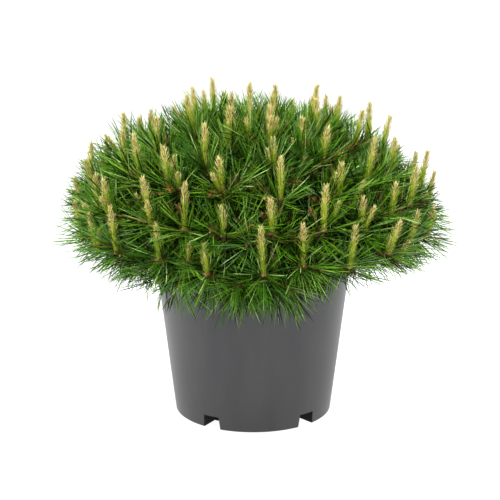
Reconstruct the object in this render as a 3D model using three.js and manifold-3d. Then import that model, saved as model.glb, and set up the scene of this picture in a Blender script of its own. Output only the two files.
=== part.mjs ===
// A potted dwarf pine: a low cushion of needled shoots with upright candles, in a round nursery pot.
// Millimetres, +Z up. The origin is on the pot's underside, on the pot's axis.
import * as THREE from "three";
import { mergeVertices } from "three/addons/utils/BufferGeometryUtils.js";
import Module from "manifold-3d";

const { Vector3 } = THREE;
const { degToRad, lerp: mix, clamp } = THREE.MathUtils;
const wasm = await Module();
wasm.setup();

// The pot: a tapered tub of about 7 litres with drainage channels pressed up into its foot.
const POT_HEIGHT = 200;
const POT_FOOT_RADIUS = 92;
const POT_FLARE = 0.12; // outward lean of the wall, mm per mm of height
const POT_WALL = 1.8;
const POT_FLOOR = 2.4;
const POT_SIDES = 40;
const FOOT_ROUNDING = 1.2;
const RIM_DEPTH = 11;
const RIM_OVERHANG = 3;
const RIM_ROUNDING = 1.5;
const CHANNELS = 5;
const CHANNEL_WIDTH = 22;
const CHANNEL_DRAFT = 1.2; // how far each side leans in towards the channel's roof
const CHANNEL_HEIGHT = 15.3;
const CHANNEL_LENGTH = 24;
const DRAIN_WIDTH = 12;
const DRAIN_LENGTH = 9;
const DRAIN_DEPTH = 8; // of the shape that cuts a drain hole through a channel's roof
const CUT_BEYOND = 6; // how far a cutting shape runs past what it cuts
const CONTAINER_TURN = -49; // degrees from +X to the first channel

// The growing medium fills the pot to just under the rim.
const GROUND = 182;
const GROUND_EDGE = 179;
const GROUND_FLAT = 45; // radius of the level middle
const CLEARANCE = 0.3; // gap between pieces that touch

// The trunk: short, leaning a little, with a root flare at the ground.
const TRUNK_TOP = 250;
const TRUNK_LEAN_X = 5;
const TRUNK_LEAN_Y = -3;
const TRUNK_RADII = [21, 15.5, 13.6, 12.6, 11.2, 9.4]; // evenly spaced from the ground to the tip
const TRUNK_SIDES = 10;

// The crown, in tiers of foliage masses. Each row is a ring of shoots at one radius and height.
// lean is how far a shoot's end tilts from upright, in degrees. arch and lift raise the middle and
// the end of the tier's limbs. The shares are of the way from the fork to the middle of the mass's
// tips, and of the limb's own length.
const TIERS = [
  {
    name: "lower", masses: 8, turn: 0, fork: 207, stagger: 3.5, limbRadius: 4.4,
    arch: 4, lift: 13, limbShare: 0.58, boughShare: 0.74,
    rows: [
      { shoots: 2, radius: 169, height: 201, lean: 91 },
      { shoots: 3, radius: 199, height: 229, lean: 73 },
    ],
  },
  {
    name: "middle", masses: 8, turn: 0.5, fork: 224, stagger: 2.5, limbRadius: 4.2,
    arch: 2, lift: 0, limbShare: 0.55, boughShare: 0.74,
    rows: [
      { shoots: 3, radius: 187, height: 264, lean: 54 },
      { shoots: 2, radius: 154, height: 297, lean: 40 },
    ],
  },
  {
    name: "upper", masses: 5, turn: 0.15, fork: 239, stagger: 0, limbRadius: 4.2,
    arch: -2, lift: 0, limbShare: 0.42, boughShare: 0.7,
    rows: [
      { shoots: 2, radius: 117, height: 316, lean: 29 },
      { shoots: 2, radius: 72, height: 329, lean: 18 },
    ],
  },
  {
    name: "top", masses: 1, turn: 0, fork: TRUNK_TOP, stagger: 0, limbRadius: 6,
    arch: 0, lift: 0, limbShare: 0.3, boughShare: 0,
    rows: [{ shoots: 4, radius: 27, height: 326, lean: 9 }],
  },
];
const CROWN_TILT = 0.06; // rise of the crown towards +Y, mm per mm
const SKELETON_SEED = 81799;
const SHOOT_TURN_JITTER = 0.2; // share of the spacing between neighbours in a row
const SHOOT_PLACE_JITTER = 6;
const SHOOT_LEAN_JITTER = 8;
const SHOOT_CURVE = 0.5; // how far back from its tip a shoot bends, as a share of its length
const LIMB_TAPER = 0.72;
const LIMB_SIDES = 5;
const BOUGH_ROWS = 2;
const STEM_ROWS = 1;
const STEM_END_RADIUS = 2.9;
const HUB_OVERLAP = 4; // how far a shoot starts back inside its stem

// A shoot: a slim core whose last stretch is set with needles, and that ends in a candle.
const CORE_RADIUS = 2.8;
const CORE_SIDES = 4;
const CORE_TWIST = 0.55; // radians from one row of needles to the next
const BARE_ROWS = 1;
const NEEDLE_ROWS = 5;
const NEEDLED_LENGTH = 56;
const NEEDLED_SHARE = 0.85; // most of a shoot's length that is needled
const NEEDLE_SEED = 73009;
const NEEDLE_LENGTH = 41;
const NEEDLE_LENGTH_JITTER = 5;
const NEEDLE_ANGLES = [72, 38]; // from the shoot's axis, at the first and the last row, in degrees
const NEEDLE_ANGLE_JITTER = 9;
const NEEDLE_TURN_JITTER = 0.4;
const NEEDLE_TRIES = 9;
const NEEDLE_SHRINK = 0.96; // each further try is this much shorter
const NEEDLE_ROOT = 0.1; // share of a needle that may crowd its neighbours on the core
const SPACE_OVERLAP = 12; // how far a needle's tip may reach into a neighbouring mass's space
const POT_MARGIN = 7; // needles stay this far from the pot
const CURVE_PIECES = 6; // straight stretches that needles take a curved limb or shoot for
const CANDLE_LENGTH = 44;
const CANDLE_LENGTH_JITTER = 11;
const CANDLE_RADIUS = 4.4;
const CANDLE_SWELL = 0.6; // where a candle is widest, as a share of its length
const CANDLE_ROOT = 0.15; // share of a candle that may crowd its own shoot's needles
const CANDLE_LEAN_SHARE = 0.2; // of its shoot's lean
const CANDLE_LEAN_JITTER = 9;
const CANDLE_TURN_JITTER = 0.6;

const COLOURS = {
  pot: { color: 0x515255, roughness: 0.5 },
  medium: { color: 0x2b1d14, roughness: 1 },
  bark: { color: 0x6a4a35, roughness: 0.95 },
  foliage: { color: 0x3c6b22, roughness: 0.6 },
};

// Seeded numbers

// A repeatable stream of numbers from 0 to 1.
function stream(seed) {
  let state = seed;
  return () => {
    state = (state * 48271) % 2147483647;
    return state / 2147483647;
  };
}

const either = (next, size) => (2 * next() - 1) * size;

// Solids

function toSolid(geometry) {
  const bare = new THREE.BufferGeometry();
  bare.setAttribute("position", geometry.getAttribute("position"));
  bare.setIndex(geometry.index);
  const merged = mergeVertices(bare, 1e-3);
  return new wasm.Manifold(
    new wasm.Mesh({
      numProp: 3,
      vertProperties: merged.attributes.position.array,
      triVerts: new Uint32Array(merged.index.array),
    }),
  );
}

function toGeometry(solid) {
  const { vertProperties, triVerts } = solid.getMesh();
  const geometry = new THREE.BufferGeometry();
  geometry.setAttribute("position", new THREE.BufferAttribute(vertProperties, 3));
  geometry.setIndex(new THREE.BufferAttribute(triVerts, 1));
  geometry.computeVertexNormals();
  return geometry;
}

// Cuts can leave loose scraps, so a cut solid is its largest piece.
function largest(solid) {
  return solid.decompose().reduce((a, b) => (b.volume() > a.volume() ? b : a));
}

// A body of revolution about Z from [radius, height] pairs that start and end on the axis.
function turned(profile, sides) {
  const points = profile.map(([r, z]) => new THREE.Vector2(r, z));
  return toSolid(new THREE.LatheGeometry(points, sides).rotateX(Math.PI / 2));
}

// A direction that leans from upright towards an azimuth.
function pointing(lean, azimuth) {
  const level = Math.sin(lean);
  return new Vector3(level * Math.cos(azimuth), level * Math.sin(azimuth), Math.cos(lean));
}

// Two directions across a way. side is any direction that the way never follows.
function across(way, side) {
  const u = side.clone().addScaledVector(way, -side.dot(way)).normalize();
  return { u, w: u.clone().cross(way) };
}

// The triangles of a closed tube through stations of { centre, way, radius, twist }.
// A triangle's row is the station below it.
function tube(stations, side, sides) {
  const rows = stations.length - 1;
  const drum = new THREE.CylinderGeometry(1, 1, 1, sides, rows).toNonIndexed();
  const position = drum.getAttribute("position");
  const corners = Array.from({ length: position.count }, (_, i) => {
    const row = Math.round((position.getY(i) + 0.5) * rows);
    const { centre, way, radius, twist } = stations[row];
    const { u, w } = across(way, side);
    const turn = Math.atan2(position.getZ(i), position.getX(i)) + twist;
    const r = radius * Math.hypot(position.getX(i), position.getZ(i));
    const place = centre.clone();
    place.addScaledVector(u, r * Math.cos(turn)).addScaledVector(w, r * Math.sin(turn));
    return { place, row };
  });
  return Array.from({ length: corners.length / 3 }, (_, k) => {
    const three = corners.slice(3 * k, 3 * k + 3);
    return { corners: three.map(({ place }) => place), row: Math.min(...three.map(({ row }) => row)) };
  });
}

function closed(faces) {
  return toSolid(new THREE.BufferGeometry().setFromPoints(faces.flatMap(({ corners }) => corners)));
}

// A round limb along a curve from t0 to t1, with a list of radii evenly spaced along it.
function limb(curve, t0, t1, radii, side, sides) {
  const stations = radii.map((radius, k) => {
    const t = mix(t0, t1, k / (radii.length - 1));
    return { centre: curve.getPoint(t), way: curve.getTangent(t), radius, twist: 0 };
  });
  return closed(tube(stations, side, sides));
}

const tapering = (from, to, rows) => Array.from({ length: rows + 1 }, (_, k) => mix(from, to, k / rows));

// The pot

const wallRadius = (z) => POT_FOOT_RADIUS + POT_FLARE * z;
const channelAngles = Array.from({ length: CHANNELS }, (_, i) => (i * 2 * Math.PI) / CHANNELS);

// A bar with sloping sides that runs in from the pot's wall, for a channel or its housing.
function channelBar(grow, angle) {
  const foot = CHANNEL_WIDTH / 2 + grow;
  const roof = foot - CHANNEL_DRAFT;
  const top = CHANNEL_HEIGHT + grow;
  const section = new THREE.Shape();
  section.moveTo(-foot, -CUT_BEYOND);
  section.lineTo(foot, -CUT_BEYOND);
  section.lineTo(foot, 0);
  section.lineTo(roof, top);
  section.lineTo(-roof, top);
  section.lineTo(-foot, 0);
  section.closePath();
  const depth = CHANNEL_LENGTH + grow + CUT_BEYOND;
  const bar = new THREE.ExtrudeGeometry(section, { depth, bevelEnabled: false });
  bar.rotateX(Math.PI / 2).rotateZ(Math.PI / 2);
  bar.translate(POT_FOOT_RADIUS - CHANNEL_LENGTH - grow, 0, 0);
  return toSolid(bar.rotateZ(angle));
}

function drainHole(angle) {
  const hole = new THREE.BoxGeometry(DRAIN_LENGTH, DRAIN_WIDTH, DRAIN_DEPTH);
  hole.translate(POT_FOOT_RADIUS - CHANNEL_LENGTH + DRAIN_LENGTH, 0, CHANNEL_HEIGHT);
  return toSolid(hole.rotateZ(angle));
}

function pot() {
  const rimBase = POT_HEIGHT - RIM_DEPTH;
  const rimRadius = wallRadius(POT_HEIGHT) + RIM_OVERHANG;
  const outside = [
    [0, 0],
    [POT_FOOT_RADIUS - FOOT_ROUNDING, 0],
    [wallRadius(FOOT_ROUNDING), FOOT_ROUNDING],
    [wallRadius(rimBase), rimBase],
    [rimRadius, rimBase],
    [rimRadius, POT_HEIGHT - RIM_ROUNDING],
    [rimRadius - RIM_ROUNDING, POT_HEIGHT],
  ];
  const inside = [
    [wallRadius(POT_HEIGHT) - POT_WALL, POT_HEIGHT],
    [wallRadius(POT_FLOOR) - POT_WALL, POT_FLOOR],
    [0, POT_FLOOR],
  ];
  const envelope = turned([...outside, [0, POT_HEIGHT]], POT_SIDES);
  let made = turned([...outside, ...inside], POT_SIDES);
  for (const angle of channelAngles) {
    made = made.add(channelBar(POT_WALL, angle).intersect(envelope));
  }
  for (const angle of channelAngles) {
    made = made.subtract(channelBar(0, angle)).subtract(drainHole(angle));
  }
  return largest(made);
}

function growingMedium() {
  const floor = POT_FLOOR + CLEARANCE;
  const inset = POT_WALL + 2 * CLEARANCE;
  const profile = [
    [0, floor],
    [wallRadius(floor) - inset, floor],
    [wallRadius(GROUND_EDGE) - inset, GROUND_EDGE],
    [GROUND_FLAT, GROUND],
    [0, GROUND],
  ];
  let made = turned(profile, POT_SIDES);
  for (const angle of channelAngles) {
    made = made.subtract(channelBar(POT_WALL + CLEARANCE, angle));
  }
  return largest(made);
}

// The trunk

const trunkCurve = new THREE.QuadraticBezierCurve3(
  new Vector3(0, 0, GROUND + CLEARANCE),
  new Vector3(0, 0, mix(GROUND, TRUNK_TOP, 0.5)),
  new Vector3(TRUNK_LEAN_X, TRUNK_LEAN_Y, TRUNK_TOP),
);

function trunk(grow) {
  const radii = TRUNK_RADII.map((radius) => radius + grow);
  return limb(trunkCurve, 0, 1, radii, new Vector3(1, 0, 0), TRUNK_SIDES);
}

// The skeleton: where each limb, shoot and candle runs

const skeleton = stream(SKELETON_SEED);

function growShoot(row, azimuth, hub) {
  const radius = row.radius + either(skeleton, SHOOT_PLACE_JITTER);
  const height = row.height + either(skeleton, SHOOT_PLACE_JITTER);
  const tip = pointing(Math.PI / 2, azimuth).multiplyScalar(radius);
  tip.z = height + CROWN_TILT * tip.y;
  const end = pointing(degToRad(row.lean + either(skeleton, SHOOT_LEAN_JITTER)), azimuth);
  const length = tip.distanceTo(hub);
  const bend = tip.clone().addScaledVector(end, -SHOOT_CURVE * length);
  const candleLean = row.lean * CANDLE_LEAN_SHARE + either(skeleton, CANDLE_LEAN_JITTER);
  const candleTurn = azimuth + either(skeleton, CANDLE_TURN_JITTER);
  return {
    curve: new THREE.QuadraticBezierCurve3(hub, bend, tip),
    tip,
    length,
    side: pointing(Math.PI / 2, azimuth + Math.PI / 2),
    candle: pointing(degToRad(candleLean), candleTurn),
    candleLength: CANDLE_LENGTH + either(skeleton, CANDLE_LENGTH_JITTER),
  };
}

function growMass(tier, mass) {
  const sector = (2 * Math.PI) / tier.masses;
  const middle = (mass + tier.turn) * sector;
  const stagger = mass % 2 ? tier.stagger : -tier.stagger;
  const forkShare = clamp((tier.fork + stagger - GROUND) / (TRUNK_TOP - GROUND), 0, 1);
  const fork = trunkCurve.getPoint(forkShare);
  const places = tier.rows.flatMap((row) => {
    const spacing = sector / row.shoots;
    return Array.from({ length: row.shoots }, (_, k) => {
      const nominal = middle - sector / 2 + (k + 0.5) * spacing;
      return { row, azimuth: nominal + either(skeleton, SHOOT_TURN_JITTER * spacing) };
    });
  });
  const centre = new Vector3();
  for (const { row, azimuth } of places) {
    const tip = pointing(Math.PI / 2, azimuth).multiplyScalar(row.radius).setZ(row.height);
    centre.addScaledVector(tip, 1 / places.length);
  }
  const end = fork.clone().lerp(centre, tier.limbShare);
  end.z += tier.lift;
  const knee = fork.clone().lerp(end, 0.5);
  knee.z += tier.arch;
  const limbCurve = new THREE.QuadraticBezierCurve3(fork, knee, end);
  const hub = limbCurve.getPoint(1 - HUB_OVERLAP / fork.distanceTo(end));
  return {
    tier,
    name: `${tier.name}_${mass + 1}`,
    limbCurve,
    side: pointing(Math.PI / 2, middle + Math.PI / 2),
    shoots: places.map(({ row, azimuth }) => growShoot(row, azimuth, hub)),
  };
}

const masses = TIERS.flatMap((tier) =>
  Array.from({ length: tier.masses }, (_, mass) => growMass(tier, mass)),
);

// Boughs, and the stem of each mass, which carries on from its bough or sits on the trunk's tip

const trunkWithClearance = trunk(CLEARANCE);
const boughEndRadius = ({ limbRadius }) => limbRadius * LIMB_TAPER;

function bough({ tier, limbCurve, side }) {
  const radii = tapering(tier.limbRadius, boughEndRadius(tier), BOUGH_ROWS);
  const whole = limb(limbCurve, 0, tier.boughShare, radii, side, LIMB_SIDES);
  return largest(whole.subtract(trunkWithClearance));
}

function stem({ tier, limbCurve, side }) {
  const start = tier.boughShare && tier.boughShare + CLEARANCE / limbCurve.getLength();
  const radii = tapering(boughEndRadius(tier), STEM_END_RADIUS, STEM_ROWS);
  return limb(limbCurve, start, 1, radii, side, LIMB_SIDES).subtract(trunkWithClearance);
}

// What a needle stays clear of

// A straight stretch with a radius at each end.
function stretch(a, b, ra, rb, owner) {
  const middle = a.clone().lerp(b, 0.5);
  return { a, b, ra, rb, owner, middle, reach: a.distanceTo(b) / 2 + Math.max(ra, rb) };
}

// How far the surfaces of two stretches are apart, with their radii taken where they come nearest.
function apart(p, q) {
  const d1 = p.b.clone().sub(p.a);
  const d2 = q.b.clone().sub(q.a);
  const between = p.a.clone().sub(q.a);
  const a = d1.dot(d1);
  const b = d1.dot(d2);
  const c = d1.dot(between);
  const e = d2.dot(d2);
  const f = d2.dot(between);
  const denominator = a * e - b * b;
  const share = (x) => clamp(x, 0, 1);
  let s = denominator > 1e-9 ? share((b * f - c * e) / denominator) : 0;
  const t = share((b * s + f) / e);
  s = share((b * t - c) / a);
  const nearest = between.addScaledVector(d1, s).addScaledVector(d2, -t).length();
  return nearest - mix(p.ra, p.rb, s) - mix(q.ra, q.rb, t);
}

function along(curve, ra, rb, owner) {
  return Array.from({ length: CURVE_PIECES }, (_, k) => {
    const from = k / CURVE_PIECES;
    const to = (k + 1) / CURVE_PIECES;
    return stretch(curve.getPoint(from), curve.getPoint(to), mix(ra, rb, from), mix(ra, rb, to), owner);
  });
}

function candlePlace({ tip, candle, candleLength }, share) {
  return tip.clone().addScaledVector(candle, share * candleLength);
}

function alongCandle(shoot) {
  const shares = [0, CANDLE_ROOT, CANDLE_SWELL, 1];
  const [foot, root, swell, end] = shares.map((share) => candlePlace(shoot, share));
  return [
    stretch(foot, root, CORE_RADIUS, CORE_RADIUS, shoot),
    stretch(root, swell, CORE_RADIUS, CANDLE_RADIUS, null),
    stretch(swell, end, CANDLE_RADIUS, 0, null),
  ];
}

for (const { shoots } of masses) {
  for (const shoot of shoots) {
    shoot.core = along(shoot.curve, CORE_RADIUS, CORE_RADIUS, shoot);
  }
}
const woodAndCandles = [
  ...along(trunkCurve, TRUNK_RADII[0], TRUNK_RADII.at(-1), null),
  ...masses.flatMap(({ tier, limbCurve }) => along(limbCurve, tier.limbRadius, STEM_END_RADIUS, null)),
  ...masses.flatMap(({ shoots }) => shoots.flatMap((shoot) => [...shoot.core, ...alongCandle(shoot)])),
];
const needles = [];

function nearPot(p) {
  const reach = wallRadius(Math.min(p.z, POT_HEIGHT)) + RIM_OVERHANG + POT_MARGIN;
  return p.z < POT_HEIGHT + POT_MARGIN && Math.hypot(p.x, p.y) < reach;
}

function nearestShoot(p, shoots) {
  const spot = stretch(p, p.clone().setZ(p.z + CLEARANCE), 0, 0, null);
  return Math.min(...shoots.map(({ core }) => apart(core.at(-1), spot)));
}

// A mass's own space is what is nearer to its shoots than to any other mass's, give or take a little.
function leavesSpace(p, mass) {
  const own = nearestShoot(p, mass.shoots);
  return masses.some((other) => nearestShoot(p, other.shoots) < own - SPACE_OVERLAP);
}

const inReach = (one, other) => one.middle.distanceTo(other.middle) < one.reach + other.reach + CLEARANCE;

// Whether any long edge of one needle runs through a side of the other.
function pierces(one, other) {
  const hit = new Vector3();
  return one.edges.some(({ a, b }) => {
    const ray = new THREE.Ray(a, b.clone().sub(a).normalize());
    const reach = a.distanceTo(b) + CLEARANCE;
    return other.sides.some(
      ([p, q, r]) => ray.intersectTriangle(p, q, r, false, hit) && hit.distanceTo(a) < reach,
    );
  });
}

function crossesNeedle(one, other) {
  const crowded = one.owner !== other.owner && apart(one, other) < CLEARANCE;
  return inReach(one, other) && (crowded || pierces(one, other) || pierces(other, one));
}

function touchesWood(needle, piece) {
  const strange = needle.owner !== piece.owner && inReach(needle, piece);
  return strange && [...needle.edges, needle].some((edge) => apart(edge, piece) < CLEARANCE);
}

function blocked(needle, mass) {
  return (
    [0.2, 0.4, 0.6, 0.8, 1].some((share) => nearPot(needle.a.clone().lerp(needle.b, share))) ||
    woodAndCandles.some((piece) => touchesWood(needle, piece)) ||
    needles.some((other) => crossesNeedle(needle, other)) ||
    leavesSpace(needle.b, mass)
  );
}

// Foliage

const needleNumbers = stream(NEEDLE_SEED);

// A needle is a slim pyramid drawn out of one face of its shoot's core.
function pyramid(corners, foot, tip, owner) {
  const [a, b, c] = corners;
  const needle = stretch(foot, tip, CORE_RADIUS / 2, 0, owner);
  needle.reach += NEEDLED_LENGTH / NEEDLE_ROWS / 2;
  needle.sides = [[a, b, tip], [b, c, tip], [c, a, tip]];
  needle.edges = corners.map((p) => stretch(p.clone().lerp(tip, NEEDLE_ROOT), tip, 0, 0, owner));
  return needle;
}

// Draws a needle out of a face of a shoot's core, or gives null where there is no room for one.
function growNeedle(mass, shoot, corners, t, rowShare) {
  const way = shoot.curve.getTangent(t);
  const { u, w } = across(way, shoot.side);
  const foot = corners[0].clone().add(corners[1]).add(corners[2]).divideScalar(3);
  const out = foot.clone().sub(shoot.curve.getPoint(t));
  const faceTurn = Math.atan2(out.dot(w), out.dot(u));
  let reach = NEEDLE_LENGTH + either(needleNumbers, NEEDLE_LENGTH_JITTER);
  for (let tries = 0; tries < NEEDLE_TRIES; tries++) {
    const turn = faceTurn + either(needleNumbers, NEEDLE_TURN_JITTER);
    const angle = degToRad(mix(...NEEDLE_ANGLES, rowShare) + either(needleNumbers, NEEDLE_ANGLE_JITTER));
    const outward = u.clone().multiplyScalar(Math.cos(turn)).addScaledVector(w, Math.sin(turn));
    const tip = foot.clone().addScaledVector(way, reach * Math.cos(angle));
    tip.addScaledVector(outward, reach * Math.sin(angle));
    const needle = pyramid(corners, foot, tip, shoot);
    if (!blocked(needle, mass)) {
      return needle;
    }
    reach *= NEEDLE_SHRINK;
  }
  return null;
}

// The stations of a shoot's core, then of its candle, which turns up from the core's tip.
function shootStations(shoot) {
  const { curve, length, tip, candle } = shoot;
  const bare = 1 - Math.min(NEEDLED_LENGTH / length, NEEDLED_SHARE);
  const shares = [...tapering(0, bare, BARE_ROWS).slice(0, -1), ...tapering(bare, 1, NEEDLE_ROWS)];
  const core = shares.map((t) => ({ t, centre: curve.getPoint(t), way: curve.getTangent(t) }));
  core.at(-1).way.add(candle).normalize();
  const stations = [
    ...core.map((station) => ({ ...station, radius: CORE_RADIUS })),
    { centre: candlePlace(shoot, CANDLE_SWELL), way: candle, radius: CANDLE_RADIUS },
    { centre: candlePlace(shoot, 1), way: candle, radius: 0 },
  ];
  return stations.map((station, row) => ({
    ...station,
    twist: CORE_TWIST * clamp(row - BARE_ROWS, 0, NEEDLE_ROWS),
  }));
}

// Every other face of the needled rows is drawn out into a needle, and every face of the last row.
function needledShoot(mass, shoot) {
  const stations = shootStations(shoot);
  const lastRow = BARE_ROWS + NEEDLE_ROWS - 1;
  const faces = tube(stations, shoot.side, CORE_SIDES).flatMap((face, k) => {
    const { row, corners } = face;
    const chosen = row >= BARE_ROWS && row <= lastRow && (k % 2 === 0 || row === lastRow);
    const rowShare = (row - BARE_ROWS) / (NEEDLE_ROWS - 1);
    const t = chosen && (stations[row].t + stations[row + 1].t) / 2;
    const needle = chosen && growNeedle(mass, shoot, corners, t, rowShare);
    if (!needle) {
      return face;
    }
    needles.push(needle);
    return needle.sides.map((side) => ({ corners: side }));
  });
  return closed(faces);
}

function foliage(mass) {
  const shoots = mass.shoots.map((shoot) => needledShoot(mass, shoot));
  return largest(shoots.reduce((made, shoot) => made.add(shoot), stem(mass)));
}

// Assembly

function piece(name, solid, look) {
  const material = new THREE.MeshStandardMaterial({ ...look, metalness: 0 });
  const mesh = new THREE.Mesh(toGeometry(solid), material);
  mesh.name = name;
  return mesh;
}

const container = new THREE.Group();
container.rotation.z = degToRad(CONTAINER_TURN);
container.add(piece("pot", pot(), COLOURS.pot));
container.add(piece("growing_medium", growingMedium(), COLOURS.medium));

const wood = new THREE.Group();
wood.add(piece("trunk", trunk(0), COLOURS.bark));
for (const mass of masses.filter(({ tier }) => tier.boughShare > 0)) {
  wood.add(piece(`bough_${mass.name}`, bough(mass), COLOURS.bark));
}

const crown = new THREE.Group();
for (const mass of masses) {
  crown.add(piece(`foliage_${mass.name}`, foliage(mass), COLOURS.foliage));
}

const pine = new THREE.Group();
pine.add(container, wood, crown);

export default pine;
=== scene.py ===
"""The looks of the potted dwarf pine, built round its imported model.

Lengths are millimetres until they reach a mesh or a light, which are in metres. Two numbers that
a random draw takes are the least and the most.
"""

import math

import bmesh
import bpy
import numpy as np
from mathutils import Matrix, Vector, noise


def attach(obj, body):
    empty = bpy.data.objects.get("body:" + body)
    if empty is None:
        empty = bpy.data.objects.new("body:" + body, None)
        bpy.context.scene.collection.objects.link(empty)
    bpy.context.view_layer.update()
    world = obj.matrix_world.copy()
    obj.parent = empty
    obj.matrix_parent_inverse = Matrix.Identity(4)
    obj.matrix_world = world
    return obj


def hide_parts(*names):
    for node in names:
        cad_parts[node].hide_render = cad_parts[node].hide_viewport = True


MM = 0.001

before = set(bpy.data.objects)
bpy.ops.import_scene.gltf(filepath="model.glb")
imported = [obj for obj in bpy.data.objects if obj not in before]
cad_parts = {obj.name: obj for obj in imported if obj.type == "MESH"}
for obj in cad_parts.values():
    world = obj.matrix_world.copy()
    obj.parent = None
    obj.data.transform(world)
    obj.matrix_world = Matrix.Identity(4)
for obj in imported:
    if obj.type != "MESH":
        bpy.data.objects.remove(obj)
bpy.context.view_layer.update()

# Sizes that the solids share

POT_HEIGHT = 200
POT_FOOT_RADIUS = 92
POT_FLARE = 0.12
POT_WALL = 1.8
POT_FLOOR = 2.4
FOOT_ROUNDING = 1.2
RIM_DEPTH = 11
RIM_OVERHANG = 3
RIM_ROUNDING = 1.5
CHANNELS = 5
CHANNEL_WIDTH = 22
CHANNEL_DRAFT = 1.2
CHANNEL_HEIGHT = 15.3
CHANNEL_LENGTH = 24
DRAIN_WIDTH = 12
DRAIN_LENGTH = 9
DRAIN_DEPTH = 8
CUT_BEYOND = 6
CONTAINER_TURN = math.radians(-49)
GROUND = 182
GROUND_EDGE = 179
CLEARANCE = 0.3
TRUNK_TOP = 250
TRUNK_LEAN_X = 5
TRUNK_LEAN_Y = -3
TRUNK_RADII = [21, 15.5, 13.6, 12.6, 11.2, 9.4]
TIERS = [
    dict(name="lower", masses=8, turn=0, fork=207, stagger=3.5, limb_radius=4.4, arch=4, lift=13,
         limb_share=0.58, bough_share=0.74, rows=[(2, 169, 201, 91), (3, 199, 229, 73)]),
    dict(name="middle", masses=8, turn=0.5, fork=224, stagger=2.5, limb_radius=4.2, arch=2, lift=0,
         limb_share=0.55, bough_share=0.74, rows=[(3, 187, 264, 54), (2, 154, 297, 40)]),
    dict(name="upper", masses=5, turn=0.15, fork=239, stagger=0, limb_radius=4.2, arch=-2, lift=0,
         limb_share=0.42, bough_share=0.7, rows=[(2, 117, 316, 29), (2, 72, 329, 18)]),
    dict(name="top", masses=1, turn=0, fork=250, stagger=0, limb_radius=6, arch=0, lift=0,
         limb_share=0.3, bough_share=0, rows=[(4, 27, 326, 9)]),
]
CROWN_TILT = 0.06
SKELETON_SEED = 81799
SHOOT_TURN_JITTER = 0.2
SHOOT_PLACE_JITTER = 6
SHOOT_LEAN_JITTER = 8
SHOOT_CURVE = 0.5
LIMB_TAPER = 0.72
STEM_END_RADIUS = 2.9
HUB_OVERLAP = 4
CANDLE_LENGTH = 44
CANDLE_LENGTH_JITTER = 11
CANDLE_LEAN_SHARE = 0.2
CANDLE_LEAN_JITTER = 9
CANDLE_TURN_JITTER = 0.6

# Seeded numbers and directions


def stream(seed):
    """The repeatable numbers that the solids are drawn with."""
    state = seed
    while True:
        state = (state * 48271) % 2147483647
        yield state / 2147483647


skeleton = stream(SKELETON_SEED)


def either(size):
    return (2 * next(skeleton) - 1) * size


def mix(a, b, share):
    return a + (b - a) * share


def unit(way):
    return way / np.linalg.norm(way, axis=-1, keepdims=True)


def pointing(lean, azimuth):
    level = math.sin(lean)
    return np.array([level * math.cos(azimuth), level * math.sin(azimuth), math.cos(lean)])


class Curve:
    """A quadratic Bezier curve."""

    def __init__(self, start, bend, end):
        self.points = np.array([start, bend, end], dtype=float)
        self.length = np.linalg.norm(np.diff(self.at(np.linspace(0, 1, 13)), axis=0), axis=1).sum()

    def at(self, t):
        t = np.asarray(t, dtype=float)[..., None]
        start, bend, end = self.points
        return (1 - t) ** 2 * start + 2 * t * (1 - t) * bend + t**2 * end

    def way(self, t):
        t = np.asarray(t, dtype=float)[..., None]
        start, bend, end = self.points
        return unit((1 - t) * (bend - start) + t * (end - bend) + 1e-9)


# The skeleton, by the rule that the solids follow

trunk_curve = Curve(
    (0, 0, GROUND + CLEARANCE),
    (0, 0, mix(GROUND, TRUNK_TOP, 0.5)),
    (TRUNK_LEAN_X, TRUNK_LEAN_Y, TRUNK_TOP),
)


def grow_shoot(row, azimuth, hub):
    radius = row[1] + either(SHOOT_PLACE_JITTER)
    height = row[2] + either(SHOOT_PLACE_JITTER)
    tip = pointing(math.pi / 2, azimuth) * radius
    tip[2] = height + CROWN_TILT * tip[1]
    end = pointing(math.radians(row[3] + either(SHOOT_LEAN_JITTER)), azimuth)
    bend = tip - end * SHOOT_CURVE * np.linalg.norm(tip - hub)
    candle_lean = row[3] * CANDLE_LEAN_SHARE + either(CANDLE_LEAN_JITTER)
    candle_turn = azimuth + either(CANDLE_TURN_JITTER)
    return dict(
        curve=Curve(hub, bend, tip),
        lean=row[3],
        candle=pointing(math.radians(candle_lean), candle_turn),
        candle_length=CANDLE_LENGTH + either(CANDLE_LENGTH_JITTER),
    )


def grow_mass(tier, number):
    sector = 2 * math.pi / tier["masses"]
    middle = (number + tier["turn"]) * sector
    stagger = tier["stagger"] if number % 2 else -tier["stagger"]
    share = (tier["fork"] + stagger - GROUND) / (TRUNK_TOP - GROUND)
    fork = trunk_curve.at(min(max(share, 0), 1))
    places = []
    for row in tier["rows"]:
        spacing = sector / row[0]
        for k in range(row[0]):
            nominal = middle - sector / 2 + (k + 0.5) * spacing
            places.append((row, nominal + either(SHOOT_TURN_JITTER * spacing)))
    tips = [pointing(math.pi / 2, azimuth) * row[1] + [0, 0, row[2]] for row, azimuth in places]
    end = mix(fork, np.mean(tips, axis=0), tier["limb_share"]) + [0, 0, tier["lift"]]
    knee = mix(fork, end, 0.5) + [0, 0, tier["arch"]]
    limb = Curve(fork, knee, end)
    hub = limb.at(1 - HUB_OVERLAP / np.linalg.norm(fork - end))
    shoots = [grow_shoot(row, azimuth, hub) for row, azimuth in places]
    return dict(tier=tier, number=number + 1, limb=limb, shoots=shoots)


masses = [grow_mass(tier, number) for tier in TIERS for number in range(tier["masses"])]

# Joined meshes from arrays


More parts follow.
